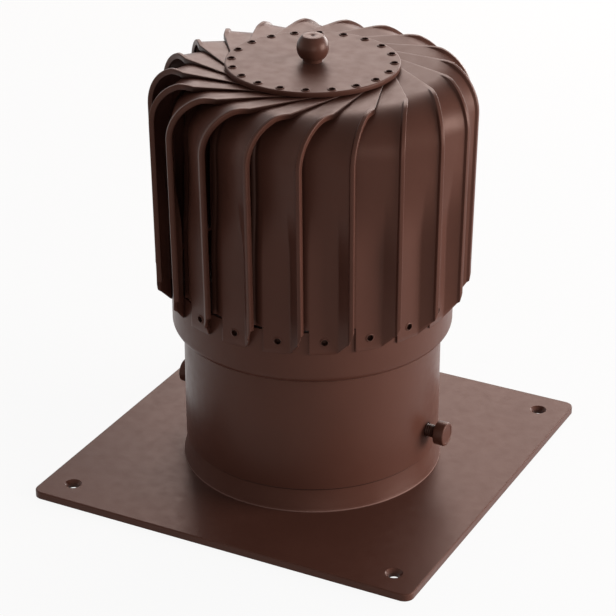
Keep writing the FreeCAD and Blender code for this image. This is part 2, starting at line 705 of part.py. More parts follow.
def shoulder_outline(turned):
    """Outline part of the way round the shoulder: the flat top's turns into the upright part's."""
    top = top_outline(blade_bend.value, dim.lip_return.value)
    low = upright_outline(dim.blade_lean.value, 0.0)
    left_share = min(1.0, turned / math.radians(30))
    right_share = math.sin(turned)
    step_share = min(1.0, turned / math.radians(20))
    edge = mix(top[6][0], low[6][0], right_share)
    outline = []
    for index, ((across, _), (low_across, low_up)) in enumerate(zip(top[:7], low[:7])):
        spot = mix(across, low_across, left_share if index < 3 else right_share)
        flat_up = dim.blade_drop.value - (edge - spot) * dim.lap_slope.value
        early_step = (step_share - right_share) * dim.lip_step.value if index > 4 else 0.0
        outline.append((spot, mix(flat_up, low_up, right_share) + early_step))
    return outline + [(edge, outline[6][1] - dim.lip_return.value)]


def strip_point(across, along, height):
    """A place on the strip, from strip directions to the first blade's own radial frame."""
    skew = math.radians(dim.blade_skew.value)
    return Vector(along * math.cos(skew) + across * math.sin(skew),
                  across * math.cos(skew) - along * math.sin(skew), height)


def section_wire(outline, place):
    closed = outline + lower_side(outline, dim.blade_sheet.value)[::-1]
    points = [place(across, up) for across, up in closed]
    return Part.makePolygon(points + points[:1])


def blade_sections():
    """Closed sections of the sheet from the inner end of the strip to the foot of the tab."""
    bend = blade_bend.value
    floor = dim.disc_level.value - dim.blade_drop.value
    thin = dim.blade_sheet.value * 1.1
    wires = []
    for along, lip_return in (((rivet_along - dim.blade_margin).value, thin), (bend * 0.75, thin),
                              (bend, mix(thin, dim.lip_return.value, 0.7))):
        wires.append(section_wire(
            top_outline(along, lip_return),
            lambda across, up, along=along: strip_point(across, along, floor + up)))
    for degrees in range(10, 91, 10):
        turned = math.radians(degrees)
        wires.append(section_wire(
            shoulder_outline(turned),
            lambda across, up, turned=turned: strip_point(
                across, bend + up * math.sin(turned), floor + up * math.cos(turned))))
    low = dim.tab_bottom.value - dim.blade_drop.value / 4
    span = floor - dim.lip_bottom.value
    for height, flatness in ((dim.twist_top.value, 0.0), (dim.twist_end.value, 1.0), (low, 1.0)):
        lean = dim.blade_lean.value * max(height - dim.lip_bottom.value, 0) / span
        wires.append(section_wire(
            upright_outline(lean, flatness),
            lambda across, up, height=height: strip_point(across, bend + up, height)))
    return wires


def foot_cut():
    """What is trimmed from the foot of a blade: below the tab, the inner edge and the rounded lip."""
    left = dim.tab_edge.value + dim.blade_sheet.value
    right = dim.edge_low.value + dim.lip_width.value
    start = dim.fold_low.value - dim.blade_sheet.value
    low = dim.tab_bottom.value
    lip_low = dim.lip_bottom.value
    floor = low - dim.blade_drop.value
    outer = dim.edge_low.value + dim.blade_sheet.value
    near = blade_bend.value + dim.blade_face.value / 3
    deep = dim.blade_face.value * 2

    def spot(across, height):
        return strip_point(across, near, height)

    share = dim.foot_bow.value / math.hypot(outer - start, lip_low - low)
    arc_middle = spot((start + outer) / 2 + (lip_low - low) * share, (low + lip_low) / 2 - (outer - start) * share)
    arc = Part.Arc(spot(start, low), arc_middle, spot(outer, lip_low)).toShape()
    path = [spot(outer, lip_low), spot(right, lip_low), spot(right, floor), spot(-left, floor),
            spot(-left, dim.inner_bottom.value), spot(left, dim.inner_bottom.value),
            spot(left, low), spot(start, low)]
    edges = [arc] + [Part.LineSegment(first, last).toShape() for first, last in zip(path, path[1:])]
    face = Part.Face(Part.Wire(edges))
    return face.extrude(strip_point(0, deep, 0))


def blade_holes():
    """Drills for the two disc rivets and the ring rivet that pass through one blade."""
    radius = dim.rivet_shank.value / 2 + dim.rivet_play.value
    step = 360.0 / dim.blade_count.value
    first = disc_rivet_turn() - dim.blade_phase.value
    upright = Part.makeCylinder(radius, dim.blade_drop.value, Vector(
        rivet_circle.value, 0, dim.disc_level.value - dim.blade_drop.value / 2))
    lying = Part.makeCylinder(radius, dim.blade_face.value, Vector(
        ring_radius.value - dim.blade_face.value / 2, 0, dim.ring_rivet_level.value), Vector(1, 0, 0))
    return [placed(upright, first), placed(upright, first - step), lying]


def blade_solid():
    solid = Part.makeLoft(blade_sections(), True, True)
    core = Part.makeCylinder((dim.disc_radius - dim.blade_reach).value, dim.blade_drop.value * 2, Vector(
        0, 0, dim.disc_level.value - dim.blade_drop.value))
    for tool in [core, foot_cut()] + blade_holes():
        solid = solid.cut(tool)
    return solid


def blades():
    shape = blade_solid()
    for number, turn_angle in enumerate(ring_rivet_turns(), start=1):
        blade = doc.addObject("Part::Feature", f"blade_{number:02d}")
        blade.Shape = shape.copy()
        blade.Placement = Placement(Vector(), Rotation(Vector(0, 0, 1), turn_angle))
        finish_piece(blade, f"blade_{number:02d}")


def check_document():
    doc.recompute()
    for item in doc.Objects:
        if "Invalid" in item.State or "Error" in item.State:
            raise RuntimeError(f"{item.Name} did not build: {item.State}")
    for item in pieces:
        if item.Shape.isNull() or not item.Shape.isValid() or not item.Shape.Solids:
            raise RuntimeError(f"{item.Label} has no valid solid")


base_plate()
base_collar()
neck_sleeve()
bridge("lower_bridge", lower_bridge_top)
bridge("upper_bridge", upper_bridge_top)
bearing_housing()
ball_bearing("lower_bearing", housing_bottom)
ball_bearing("upper_bearing", housing_top - dim.bearing_width)
axle()
snap_ring()
thumb_screw("right", Rotation(Vector(0, 1, 0), 90), 1)
thumb_screw("left", Rotation(Vector(0, 1, 0), -90), -1)
rotor_discs()
ball_knob()
drum_ring()
rivets()
blades()
check_document()

os.makedirs("parts", exist_ok=True)
for item in pieces:
    item.Shape.exportStep(f"parts/{item.Label}.step")
    print(f"{item.Label}: {len(item.Shape.Solids)} solid(s), {item.Shape.Volume:.1f} mm3")
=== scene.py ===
import math

import bmesh
import bpy
from mathutils import Matrix, Vector


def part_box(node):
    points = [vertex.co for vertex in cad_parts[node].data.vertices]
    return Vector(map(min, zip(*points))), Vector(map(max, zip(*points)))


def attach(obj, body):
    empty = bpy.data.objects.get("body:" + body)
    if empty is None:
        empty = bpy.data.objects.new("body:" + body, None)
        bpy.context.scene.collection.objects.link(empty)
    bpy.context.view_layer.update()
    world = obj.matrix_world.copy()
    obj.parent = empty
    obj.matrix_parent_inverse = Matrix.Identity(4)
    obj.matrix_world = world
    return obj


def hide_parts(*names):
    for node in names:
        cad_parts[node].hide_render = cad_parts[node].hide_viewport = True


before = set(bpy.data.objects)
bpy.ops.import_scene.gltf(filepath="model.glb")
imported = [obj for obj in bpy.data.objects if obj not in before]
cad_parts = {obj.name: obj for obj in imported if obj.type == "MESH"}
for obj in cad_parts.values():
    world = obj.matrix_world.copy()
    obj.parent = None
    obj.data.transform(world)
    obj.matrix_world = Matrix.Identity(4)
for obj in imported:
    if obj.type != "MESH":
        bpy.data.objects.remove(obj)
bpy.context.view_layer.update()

# A rotating chimney cowl in brown powder coat: bent blades lapped under a top disc, riveted to a
# drum ring that turns on the neck of a flanged plate. Sizes are in millimetres until MM turns them.
MM = 0.001

PLATE_SIDE = 250.0
PLATE_THICK = 4.5
FLUE_BORE = 150.0
SHEET = 1.0

COLLAR_RADIUS = FLUE_BORE / 2 + SHEET
COLLAR_TOP = PLATE_THICK + 58.0
FOOT_RADIUS = COLLAR_RADIUS + 3.1
FOOT_EDGE = 0.8
FLARE_TOP = PLATE_THICK + 24.0

SLEEVE_BORE = COLLAR_RADIUS + 0.5
SLEEVE_RADIUS = SLEEVE_BORE + SHEET
SLEEVE_BOTTOM = 19.13
SEAM_SHADE = 0.9
SLEEVE_TOP = 116.0

RING_LIP = SLEEVE_RADIUS + 0.7
RING_RADIUS = RING_LIP + 6.0
RING_TURN = 5.3
RING_BOTTOM = 92.5
RING_TOP = RING_BOTTOM + 33.5

DISC_RADIUS = 50.5
DISC_LEVEL = 255.0
DISC_TOP = DISC_LEVEL + 3.0
DISC_EDGE = 0.7

KNOB_RADIUS = 9.3
KNOB_CENTRE = DISC_TOP + 8.2
KNOB_FACET = KNOB_CENTRE + 7.15
KNOB_NECK = 5.65
KNOB_NECK_TOP = DISC_TOP + 2.6
KNOB_MARK = 1.3

SCREW_LEVEL = 36.0
SCREW_RADIUS = 4.0
SCREW_HOLE = 4.5
HEAD_RADIUS = 7.25
HEAD_LENGTH = 6.6
HEAD_START = SLEEVE_RADIUS + 6.6
HEAD_SOCKET = 5.6
THREAD_PITCH = 1.25

RIVET_SHANK = 2.2
RIVET_HEAD = 2.8
RIVET_RISE = 0.5
RIVET_HOLLOW = 1.8
RIVET_DEPTH = 2.6
RIVET_CIRCLE = DISC_RADIUS - 3.7
RIVET_LEVEL = 120.2

BLADE_COUNT = 20
BLADE_SHEET = 0.8
BLADE_PHASE = math.radians(13.8)
BLADE_SKEW = math.radians(13.4)
BLADE_FACE = 22.1
BLADE_BEND = RING_RADIUS - 1.3 - BLADE_FACE
BLADE_LEAN = 1.8
BLADE_DROP = 26.3
BEND_LEVEL = DISC_LEVEL - BLADE_DROP
EDGE_TOP = DISC_RADIUS - 6.8
EDGE_LOW = 36.8
LIP_WIDTH = 2.4
LIP_STAND = 4.2
LIP_RETURN = 3.2
LIP_STEP = 1.6
LIP_RAMP = 0.7
FACE_RAKE = 4.1
FOLD = 26.9
TAB_EDGE = 10.6
INNER_EDGE = 4.3
INNER_CURL = 0.6
INNER_DIP = 0.8
LAP_WIDTH = 8.0
LAP_SLOPE = 0.105
BLADE_INNER = DISC_RADIUS - 7.5
TAB_BOTTOM = 112.5
INNER_BOTTOM = 128.0
LIP_BOTTOM = 132.5
FOOT_BOW = 2.3
TWIST_TOP = 212.0
TWIST_END = 165.0

RIVET_TURN = BLADE_PHASE - BLADE_SKEW + math.asin((EDGE_TOP - LAP_WIDTH / 2) / RIVET_CIRCLE)
BLADE_STEP = math.tau / BLADE_COUNT

COAT = (0.074, 0.029, 0.0205)
# Painted shade, laid into the rivets' pits, under the sleeve's edge and where the blades lap.
PAINTED_SHADE_COLOUR = (0.022, 0.008, 0.0055, 1.0)
# Painted highlight along the edge of the collar's foot.
PAINTED_HIGHLIGHT_COLOUR = (0.17, 0.095, 0.08, 1.0)
LAP_SHADE = "lap_shade"
COAT_IOR = 1.3
COAT_GLINT = (1.0, 0.68, 0.58, 1.0)
STEEL = (0.56, 0.57, 0.58)


class Group:
    """A shader node group under construction."""

    def __init__(self, name, inputs, outputs):
        self.tree = bpy.data.node_groups.new(name, "ShaderNodeTree")
        for socket, kind, value in inputs:
            made = self.tree.interface.new_socket(socket, in_out="INPUT", socket_type=kind)
            made.default_value = value
        for socket, kind in outputs:
            self.tree.interface.new_socket(socket, in_out="OUTPUT", socket_type=kind)
        self.given = self.tree.nodes.new("NodeGroupInput").outputs
        self.result = self.tree.nodes.new("NodeGroupOutput").inputs

    def add(self, kind, **settings):
        return add_node(self.tree, kind, **settings)

    def link(self, source, target):
        self.tree.links.new(source, target)

    def sum_of(self, operation, *values):
        """The result of a maths node on sockets and numbers."""
        made = self.add("ShaderNodeMath", operation=operation)
        for place, value in zip(made.inputs, values):
            if isinstance(value, float):
                place.default_value = value
            else:
                self.link(value, place)
        return made.outputs[0]


def add_node(tree, kind, **settings):
    made = tree.nodes.new(kind)
    for name, value in settings.items():
        setattr(made, name, value)
    return made


def speckle(group, scale, detail=2.0):
    """Noise over the object's own coordinates, as a socket that runs from 0 to 1."""
    place = group.add("ShaderNodeTexCoord").outputs["Object"]
    noise = group.add("ShaderNodeTexNoise")
    noise.inputs["Detail"].default_value = detail
    group.link(place, noise.inputs["Vector"])
    if isinstance(scale, float):
        noise.inputs["Scale"].default_value = scale
    else:
        group.link(scale, noise.inputs["Scale"])
    return noise.outputs["Fac"]


def spread(group, value, middle, reach):
    """Turns a 0 to 1 value into middle plus or minus reach."""
    span = group.add("ShaderNodeMapRange")
    span.inputs["From Min"].default_value = 0.3
    span.inputs["From Max"].default_value = 0.7
    low = group.add("ShaderNodeMath", operation="SUBTRACT")
    high = group.add("ShaderNodeMath", operation="ADD")
    for node in (low, high):
        if isinstance(middle, float):
            node.inputs[0].default_value = middle
        else:
            group.link(middle, node.inputs[0])
        group.link(reach, node.inputs[1])
    group.link(value, span.inputs["Value"])
    group.link(low.outputs[0], span.inputs["To Min"])
    group.link(high.outputs[0], span.inputs["To Max"])
    return span.outputs["Result"]


def bump(group, height, depth, distance):
    made = group.add("ShaderNodeBump")
    made.inputs["Distance"].default_value = distance
    group.link(height, made.inputs["Height"])
    group.link(depth, made.inputs["Strength"])
    return made.outputs["Normal"]


def make_coat_group():
    """Powder coat: a fine orange peel, faint clouds in the colour and small changes of gloss."""
    group = Group("powder_coat", [
        ("Colour", "NodeSocketColor", (*COAT, 1.0)),
        ("Clouds", "NodeSocketFloat", 0.06),
        ("Roughness", "NodeSocketFloat", 0.42),
        ("Gloss change", "NodeSocketFloat", 0.04),
        ("Peel scale", "NodeSocketFloat", 900.0),
        ("Peel depth", "NodeSocketFloat", 0.25),
    ], [("Colour", "NodeSocketColor"), ("Roughness", "NodeSocketFloat"), ("Normal", "NodeSocketVector")])
    clouds = speckle(group, 24.0, 3.0)
    tint = group.add("ShaderNodeHueSaturation")
    group.link(spread(group, clouds, 1.0, group.given["Clouds"]), tint.inputs["Value"])
    group.link(group.given["Colour"], tint.inputs["Color"])
    group.link(tint.outputs["Color"], group.result["Colour"])
    gloss = speckle(group, 160.0)
    group.link(spread(group, gloss, group.given["Roughness"], group.given["Gloss change"]),
               group.result["Roughness"])
    peel = speckle(group, group.given["Peel scale"])
    group.link(bump(group, peel, group.given["Peel depth"], 0.00006), group.result["Normal"])
    return group.tree


def place_of(group):
    """The three object coordinates."""
    apart = group.add("ShaderNodeSeparateXYZ")
    group.link(group.add("ShaderNodeTexCoord").outputs["Object"], apart.inputs[0])
    return apart.outputs


def reach_of(group, east, north):
    """Distance from the upright axis."""
    squares = [group.sum_of("MULTIPLY", value, value) for value in (east, north)]
    return group.sum_of("SQRT", group.sum_of("ADD", *squares))


def painted(group, colour, tone, mask):
    """The colour with another tone laid over it where the mask is 1."""
    layer = group.add("ShaderNodeMix", data_type="RGBA")
    group.link(mask, layer.inputs["Factor"])
    group.link(colour, layer.inputs[6])
    layer.inputs[7].default_value = tone
    return layer.outputs[2]


def make_pit_shading_group():
    """The powder coat with painted shade in a pit round each rivet's axis; Across picks the plane of the pit."""
    group = Group("pit_shaded_coat", [
        ("Colour", "NodeSocketColor", (*COAT, 1.0)),
        ("Roughness", "NodeSocketFloat", 0.4),
        ("First turn", "NodeSocketFloat", 0.0),
        ("Centre", "NodeSocketVector", (0.0, 0.0, 0.0)),
        ("Across", "NodeSocketVector", (1.0, 1.0, 0.0)),
    ], [("Colour", "NodeSocketColor"), ("Roughness", "NodeSocketFloat"), ("Normal", "NodeSocketVector")])
    coat = group.add("ShaderNodeGroup", node_tree=coat_group)
    group.link(group.given["Colour"], coat.inputs["Colour"])
    group.link(group.given["Roughness"], coat.inputs["Roughness"])
    east, north, height = place_of(group)
    turn = group.sum_of("SUBTRACT", group.sum_of("ARCTAN2", north, east), group.given["First turn"])
    near = group.sum_of("WRAP", turn, BLADE_STEP / 2, -BLADE_STEP / 2)
    reach = reach_of(group, east, north)
    local = group.add("ShaderNodeCombineXYZ")
    group.link(group.sum_of("MULTIPLY", reach, group.sum_of("COSINE", near)), local.inputs[0])
    group.link(group.sum_of("MULTIPLY", reach, group.sum_of("SINE", near)), local.inputs[1])
    group.link(height, local.inputs[2])
    away = group.add("ShaderNodeVectorMath", operation="SUBTRACT")
    group.link(local.outputs[0], away.inputs[0])
    group.link(group.given["Centre"], away.inputs[1])
    across = group.add("ShaderNodeVectorMath", operation="MULTIPLY")
    group.link(away.outputs[0], across.inputs[0])
    group.link(group.given["Across"], across.inputs[1])
    length = group.add("ShaderNodeVectorMath", operation="LENGTH")
    group.link(across.outputs[0], length.inputs[0])
    # Painted shade inside each rivet's pit.
    pit = group.sum_of("LESS_THAN", length.outputs["Value"], (RIVET_HOLLOW + 0.15) * MM)
    group.link(painted(group, coat.outputs["Colour"], PAINTED_SHADE_COLOUR, pit), group.result["Colour"])
    group.link(coat.outputs["Roughness"], group.result["Roughness"])
    group.link(coat.outputs["Normal"], group.result["Normal"])
    return group.tree


def make_collar_painted_light_group():
    """The powder coat of the collar: painted shade under the sleeve's edge and a painted highlight on the foot's
    edge.
    """
    group = Group("collar_painted_light_coat", [
        ("Roughness", "NodeSocketFloat", 0.36),
        ("Clouds", "NodeSocketFloat", 0.04),
    ], [("Colour", "NodeSocketColor"), ("Roughness", "NodeSocketFloat"), ("Normal", "NodeSocketVector")])
    coat = group.add("ShaderNodeGroup", node_tree=coat_group)
    for name in ("Roughness", "Clouds"):
        group.link(group.given[name], coat.inputs[name])
    east, north, height = place_of(group)
    outside = group.sum_of("GREATER_THAN", reach_of(group, east, north), (COLLAR_RADIUS - SHEET / 2) * MM)
    from_seam = group.sum_of("ABSOLUTE", group.sum_of("SUBTRACT", height, (SLEEVE_BOTTOM - SEAM_SHADE / 2) * MM))
    shaded = group.sum_of("LESS_THAN", from_seam, SEAM_SHADE / 2 * MM)
    # Painted shade in a band under the sleeve's edge and a painted highlight along the foot's edge.
    edge = group.sum_of("LESS_THAN", height, (PLATE_THICK + FOOT_EDGE) * MM)
    colour = coat.outputs["Colour"]
    for mask, tone in ((shaded, PAINTED_SHADE_COLOUR), (edge, PAINTED_HIGHLIGHT_COLOUR)):
        colour = painted(group, colour, tone, group.sum_of("MULTIPLY", mask, outside))
    group.link(colour, group.result["Colour"])
    group.link(coat.outputs["Roughness"], group.result["Roughness"])
    group.link(coat.outputs["Normal"], group.result["Normal"])
    return group.tree


def make_lapped_group():
    """The powder coat of the blades, with painted shade where they lap: on the tops' edges and in the gaps."""
    group = Group("lapped_coat", [
        ("Roughness", "NodeSocketFloat", 0.38),
        ("Clouds", "NodeSocketFloat", 0.06),
    ], [("Colour", "NodeSocketColor"), ("Roughness", "NodeSocketFloat"), ("Normal", "NodeSocketVector")])
    coat = group.add("ShaderNodeGroup", node_tree=coat_group)
    for name in ("Roughness", "Clouds"):
        group.link(group.given[name], coat.inputs[name])
    shade = group.add("ShaderNodeAttribute", attribute_name=LAP_SHADE).outputs["Fac"]
    group.link(painted(group, coat.outputs["Colour"], PAINTED_SHADE_COLOUR, shade), group.result["Colour"])
    group.link(coat.outputs["Roughness"], group.result["Roughness"])
    group.link(coat.outputs["Normal"], group.result["Normal"])
    return group.tree


def make_turned_group():
    """Bare metal with the fine rings or lines that a lathe or a rolling mill leaves."""
    group = Group("machined_metal", [
        ("Colour", "NodeSocketColor", (*STEEL, 1.0)),
        ("Stains", "NodeSocketFloat", 0.08),
        ("Roughness", "NodeSocketFloat", 0.3),
        ("Gloss change", "NodeSocketFloat", 0.08),
        ("Line stretch", "NodeSocketVector", (1.0, 1.0, 30.0)),
        ("Line depth", "NodeSocketFloat", 0.3),
    ], [("Colour", "NodeSocketColor"), ("Roughness", "NodeSocketFloat"), ("Normal", "NodeSocketVector")])
    stains = speckle(group, 40.0, 4.0)
    tint = group.add("ShaderNodeHueSaturation")
    group.link(spread(group, stains, 1.0, group.given["Stains"]), tint.inputs["Value"])
    group.link(group.given["Colour"], tint.inputs["Color"])
    group.link(tint.outputs["Color"], group.result["Colour"])
    place = group.add("ShaderNodeTexCoord").outputs["Object"]
    stretch = group.add("ShaderNodeVectorMath", operation="MULTIPLY")
    group.link(place, stretch.inputs[0])
    group.link(group.given["Line stretch"], stretch.inputs[1])
    lines = group.add("ShaderNodeTexNoise")
    lines.inputs["Scale"].default_value = 120.0
    group.link(stretch.outputs[0], lines.inputs["Vector"])
    group.link(spread(group, lines.outputs["Fac"], group.given["Roughness"], group.given["Gloss change"]),
               group.result["Roughness"])
    group.link(bump(group, lines.outputs["Fac"], group.given["Line depth"], 0.00004), group.result["Normal"])
    return group.tree


def finish(name, effect, metallic=0.0, **values):
    """A material whose Principled shader takes its colour, roughness and normal from a group."""
    material = bpy.data.materials.new(name)
    material.use_nodes = True
    tree = material.node_tree
    shader = tree.nodes["Principled BSDF"]
    shader.inputs["Metallic"].default_value = metallic
    if metallic == 0.0:
        shader.inputs["IOR"].default_value = COAT_IOR
        shader.inputs["Specular Tint"].default_value = COAT_GLINT
    look = add_node(tree, "ShaderNodeGroup", node_tree=effect)
    for socket, value in values.items():
        look.inputs[socket.replace("_", " ")].default_value = value
    tree.links.new(look.outputs["Colour"], shader.inputs["Base Color"])
    tree.links.new(look.outputs["Roughness"], shader.inputs["Roughness"])
    tree.links.new(look.outputs["Normal"], shader.inputs["Normal"])
    material.diffuse_color = (*COAT, 1.0) if metallic == 0.0 else (*STEEL, 1.0)
    return material


coat_group = make_coat_group()
metal_group = make_turned_group()
pit_shading_group = make_pit_shading_group()
collar_painted_light_group = make_collar_painted_light_group()
lapped_group = make_lapped_group()

plate_coat = finish("plate_coat", coat_group, Clouds=0.05, Roughness=0.36)
neck_coat = finish("neck_coat", coat_group, Clouds=0.04, Roughness=0.36)
collar_coat = finish("collar_coat", collar_painted_light_group)
ring_coat = finish("ring_coat", coat_group, Clouds=0.04, Roughness=0.38)
blade_coat = finish("blade_coat", lapped_group)
disc_coat = finish("disc_coat", coat_group, Clouds=0.05, Roughness=0.42)
knob_coat = finish("knob_coat", coat_group, Clouds=0.03, Roughness=0.33, Peel_depth=0.15)
disc_rivet_coat = finish("disc_rivet_coat", pit_shading_group, Centre=(RIVET_CIRCLE * MM, 0.0, 0.0), First_turn=RIVET_TURN)
ring_rivet_coat = finish("ring_rivet_coat", pit_shading_group, Centre=(0.0, 0.0, RIVET_LEVEL * MM), First_turn=BLADE_PHASE,
                         Across=(0.0, 1.0, 1.0))
hub_coat = finish("hub_coat", coat_group, Clouds=0.06, Roughness=0.5)
screw_coat = finish("screw_coat", coat_group, Clouds=0.03, Roughness=0.35, Peel_depth=0.15)
stud_coat = finish("stud_coat", coat_group, Clouds=0.03, Roughness=0.45, Colour=(0.035, 0.013, 0.009, 1.0))
bridge_steel = finish("bridge_steel", metal_group, 1.0, Roughness=0.42, Line_stretch=(2.0, 40.0, 2.0))
housing_steel = finish("housing_steel", metal_group, 1.0, Roughness=0.34)
bearing_steel = finish("bearing_steel", metal_group, 1.0, Roughness=0.16, Stains=0.03, Line_depth=0.1)
axle_steel = finish("axle_steel", metal_group, 1.0, Roughness=0.26)
nut_steel = finish("nut_steel", metal_group, 1.0, Roughness=0.38, Stains=0.12)


def mix(first, second, share):
    return first + (second - first) * share


def smooth(share):
    share = min(max(share, 0.0), 1.0)
    return share * share * (3.0 - 2.0 * share)


def arc(across, up, radius, begin, end, steps):
    """Points on a circle about (across, up), from one direction to another, in degrees."""
    turns = [math.radians(mix(begin, end, step / steps)) for step in range(steps + 1)]
    return [(across + radius * math.cos(turn), up + radius * math.sin(turn)) for turn in turns]


def spaced(first, last, count):
    return [mix(first, last, index / (count - 1)) for index in range(count)]


def add_object(name, mesh, material=None, sharp=35.0):
    """A scene object for a mesh, shaded smooth except where its faces meet at more than sharp."""
    made = bpy.data.objects.new(name, mesh)
    bpy.context.scene.collection.objects.link(made)
    mesh.polygons.foreach_set("use_smooth", [True] * len(mesh.polygons))
    mesh.set_sharp_from_angle(angle=math.radians(sharp))
    if material:
        mesh.materials.clear()
        mesh.materials.append(material)
    return made


def mesh_from(bm, name):
    bmesh.ops.recalc_face_normals(bm, faces=bm.faces)
    mesh = bpy.data.meshes.new(name)
    bm.to_mesh(mesh)
    bm.free()
    return mesh


def turned_mesh(name, profile, sides=160):
    """Turns an outline of (radius, height) pairs about the Z axis; an end at radius 0 is closed."""
    bm = bmesh.new()
    rings = []
    for radius, height in profile:
        if radius < 1e-6:
            rings.append([bm.verts.new((0.0, 0.0, height * MM))])
            continue
        steps = [math.tau * side / sides for side in range(sides)]
        rings.append([bm.verts.new((radius * MM * math.cos(turn), radius * MM * math.sin(turn), height * MM))
                      for turn in steps])
    solid_of_ring = len(rings[0]) > 1
    followers = rings[1:] + rings[:1] if solid_of_ring else rings[1:]
    for ring, follower in zip(rings, followers):
        join_rings(bm, ring, follower, sides)
    return mesh_from(bm, name)


def join_rings(bm, ring, follower, sides):
    for side in range(sides):
        after = (side + 1) % sides
        if len(ring) == 1:
            bm.faces.new((ring[0], follower[side], follower[after]))
        elif len(follower) == 1:
            bm.faces.new((ring[side], follower[0], ring[after]))
        else:
            bm.faces.new((ring[side], follower[side], follower[after], ring[after]))


def evaluated(source, name, material, sharp=35.0):
    """The object's mesh with its modifiers applied, as a plain object; the source is removed."""
    depsgraph = bpy.context.evaluated_depsgraph_get()
    mesh = bpy.data.meshes.new_from_object(source.evaluated_get(depsgraph))
    bpy.data.objects.remove(source)
    mesh.name = name
    return add_object(name, mesh, material, sharp)


def repeat_tree():
    """Copies of a piece round the Z axis, realised, with their finish."""
    tree = bpy.data.node_groups.new("repeat_round_axis", "GeometryNodeTree")
    face = tree.interface
    face.new_socket("Piece", in_out="INPUT", socket_type="NodeSocketGeometry")
    face.new_socket("Copies", in_out="INPUT", socket_type="NodeSocketInt")
    face.new_socket("First turn", in_out="INPUT", socket_type="NodeSocketFloat")
    face.new_socket("Finish", in_out="INPUT", socket_type="NodeSocketMaterial")
    face.new_socket("Copies made", in_out="OUTPUT", socket_type="NodeSocketGeometry")
    given = tree.nodes.new("NodeGroupInput").outputs
    result = tree.nodes.new("NodeGroupOutput").inputs
    link = tree.links.new
    points = tree.nodes.new("GeometryNodePoints")
    link(given["Copies"], points.inputs["Count"])
    step = add_node(tree, "ShaderNodeMath", operation="DIVIDE")
    step.inputs[0].default_value = math.tau
    link(given["Copies"], step.inputs[1])
    turn = add_node(tree, "ShaderNodeMath", operation="MULTIPLY_ADD")
    link(tree.nodes.new("GeometryNodeInputIndex").outputs["Index"], turn.inputs[0])
    link(step.outputs[0], turn.inputs[1])
    link(given["First turn"], turn.inputs[2])
    angles = tree.nodes.new("ShaderNodeCombineXYZ")
    link(turn.outputs[0], angles.inputs["Z"])
    place = tree.nodes.new("GeometryNodeInstanceOnPoints")
    link(points.outputs[0], place.inputs["Points"])
    link(given["Piece"], place.inputs["Instance"])
    link(angles.outputs[0], place.inputs["Rotation"])
    real = tree.nodes.new("GeometryNodeRealizeInstances")
    link(place.outputs["Instances"], real.inputs["Geometry"])
    paint = tree.nodes.new("GeometryNodeSetMaterial")
    link(real.outputs["Geometry"], paint.inputs["Geometry"])
    link(given["Finish"], paint.inputs["Material"])
    link(paint.outputs["Geometry"], result["Copies made"])
    return tree


def repeat_round(source, name, copies, first_turn, material, sharp=35.0):
    """Repeats a piece round the rotor's axis with the tree above and keeps the plain mesh."""
    modifier = source.modifiers.new("repeat", "NODES")
    modifier.node_group = round_tree
    sizes = {"Copies": copies, "First turn": first_turn, "Finish": material}
    for item in round_tree.interface.items_tree:
        if item.name in sizes and item.in_out == "INPUT":
            modifier[item.identifier] = sizes[item.name]
    return evaluated(source, name, material, sharp)


round_tree = repeat_tree()


def stands_for(piece, body, slot, *cad_nodes):
    """The piece takes the place of these nodes and rides on their body; the slot is not used."""
    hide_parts(*cad_nodes)
    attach(piece, body)


# Along a blade, a path position is the distance along the strip up to the shoulder, then the
# shoulder's arc, then the way down. Across it, eight keys are eased into the bent section.
ARC_LENGTH = 24.0 * math.pi / 2
KEY_CUTS = (0.7, 1.4, 1.0, 0.3, 0.3, 0.6)
CUT_STEPS = 3
TOP_ROWS = 6
SHADE_ROWS = 4
GAP_ROWS = 12
GAP_SHADE = 0.85


def eased(keys, cuts):
    """The section through the keys, its corners rounded by a curve that starts a cut away."""
    section = [keys[0]]
    for before, key, after, cut in zip(keys, keys[1:], keys[2:], cuts):
        start = toward(key, before, cut)
        end = toward(key, after, cut)
        for step in range(CUT_STEPS + 1):
            share = step / CUT_STEPS
            first = [mix(a, b, share) for a, b in zip(start, key)]
            last = [mix(a, b, share) for a, b in zip(key, end)]
            section.append(tuple(mix(a, b, share) for a, b in zip(first, last)))
    section.append(keys[-1])
    return section


def toward(key, other, cut):
    length = math.dist(key, other)
    share = min(cut / length, 0.45)
    return tuple(mix(a, b, share) for a, b in zip(key, other))


def lap_line(along):
    """Left edge of a blade's top: a set overlap under the neighbour's right edge."""
    return (EDGE_TOP - LAP_WIDTH - along * math.sin(BLADE_STEP)) / math.cos(BLADE_STEP)


def top_keys(along, lip_return):
    left = lap_line(along)
    lip = EDGE_TOP - LIP_WIDTH
    spots = [mix(left, EDGE_TOP, share) for share in (0.0, 0.1, 0.25, 0.6)] + [lip - LIP_RAMP, lip, EDGE_TOP]
    keys = [(spot, BLADE_DROP - (EDGE_TOP - spot) * LAP_SLOPE) for spot in spots]
    return keys + [(EDGE_TOP, BLADE_DROP - lip_return)]


def upright_keys(lean, flatness):
    """Keys of the upright part; flatness 1 lays the face's left side on the drum ring."""
    lip = BLADE_FACE + lean + LIP_STAND
    face_right = lip - LIP_STEP
    face_left = face_right - FACE_RAKE
    lip_start = EDGE_LOW - LIP_WIDTH
    face_end = lip_start - LIP_RAMP

    def level(across):
        on_face = mix(face_left, face_right, (across - TAB_EDGE) / (face_end - TAB_EDGE))
        reach = RING_RADIUS + BLADE_SHEET - across * math.sin(BLADE_SKEW)
        return mix(on_face, reach / math.cos(BLADE_SKEW) - BLADE_BEND, flatness)

    left_up = level(TAB_EDGE)
    return [
        (INNER_EDGE, left_up + INNER_CURL),
        (mix(INNER_EDGE, TAB_EDGE, 0.35), left_up - INNER_DIP),
        (TAB_EDGE, left_up),
        (FOLD, level(FOLD)),
        (face_end, face_right),
        (lip_start, lip),
        (EDGE_LOW, lip),
        (EDGE_LOW, lip - LIP_RETURN)]


